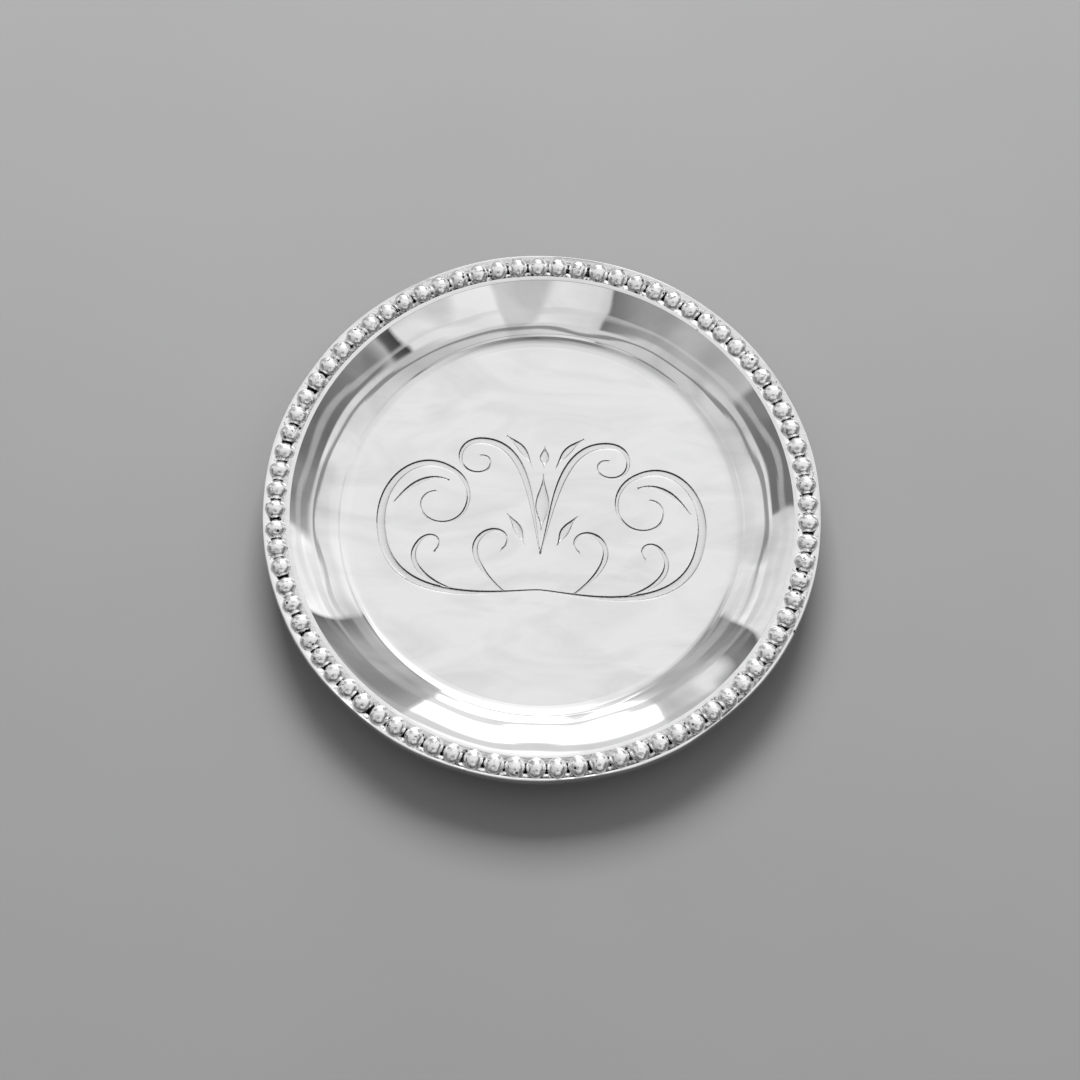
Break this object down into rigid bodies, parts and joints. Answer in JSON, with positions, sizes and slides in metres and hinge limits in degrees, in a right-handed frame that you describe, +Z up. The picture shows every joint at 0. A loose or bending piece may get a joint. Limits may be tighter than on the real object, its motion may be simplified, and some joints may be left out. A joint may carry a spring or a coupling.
{
  "type": "salver",
  "caption": "Small round silver salver: flat engraved floor, coved and sloping wall, beaded border between plain lips, and a low foot ring.",
  "frame": {"origin": "middle of the footprint, on the surface that the foot ring stands on", "axes": "+Z up, along the axis of the round dish; the engraved scroll stands upright seen from -Y, mirrored about X = 0"},
  "size_m": [0.152, 0.152, 0.0155],
  "materials": {
    "polished_silver": "polished",
    "oxidised_bead_silver": "polished",
    "foot_silver": "satin"
  },
  "bodies": {
    "root": {"dish": "polished_silver", "bead_border": "oxidised_bead_silver", "inner_lip_wire": "polished_silver", "outer_lip_wire": "polished_silver", "foot_ring": "foot_silver"}
  },
  "joints": []
}
